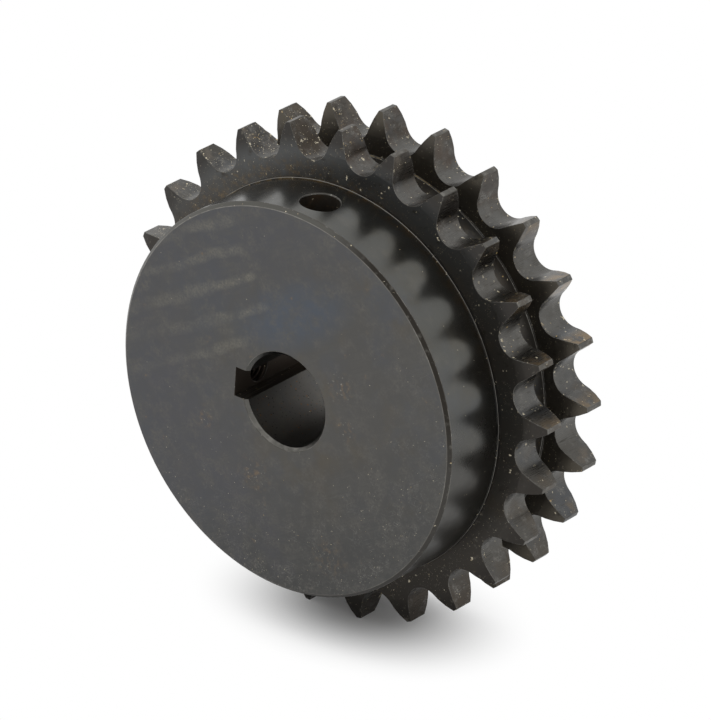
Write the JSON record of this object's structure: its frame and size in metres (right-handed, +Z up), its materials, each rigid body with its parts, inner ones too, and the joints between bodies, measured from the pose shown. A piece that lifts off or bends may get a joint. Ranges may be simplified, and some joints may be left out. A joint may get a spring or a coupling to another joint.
{
  "type": "duplex roller chain sprocket",
  "caption": "One-piece steel sprocket for double-strand roller chain, with a wide hub on one side, a keyed bore and set screw holes.",
  "frame": {"origin": "on the bore axis, midway between the two rows of teeth", "axes": "+Z up with the sprocket standing on its teeth; -Y along the bore axis out of the hub face, which looks at the viewer; +X to the viewer's right"},
  "size_m": [0.1338, 0.045, 0.1336],
  "materials": {
    "blackened_steel": "turned and hobbed carbon steel with a black oxide finish, oiled, lightly worn"
  },
  "bodies": {
    "root": {"sprocket": "blackened_steel"}
  },
  "joints": []
}
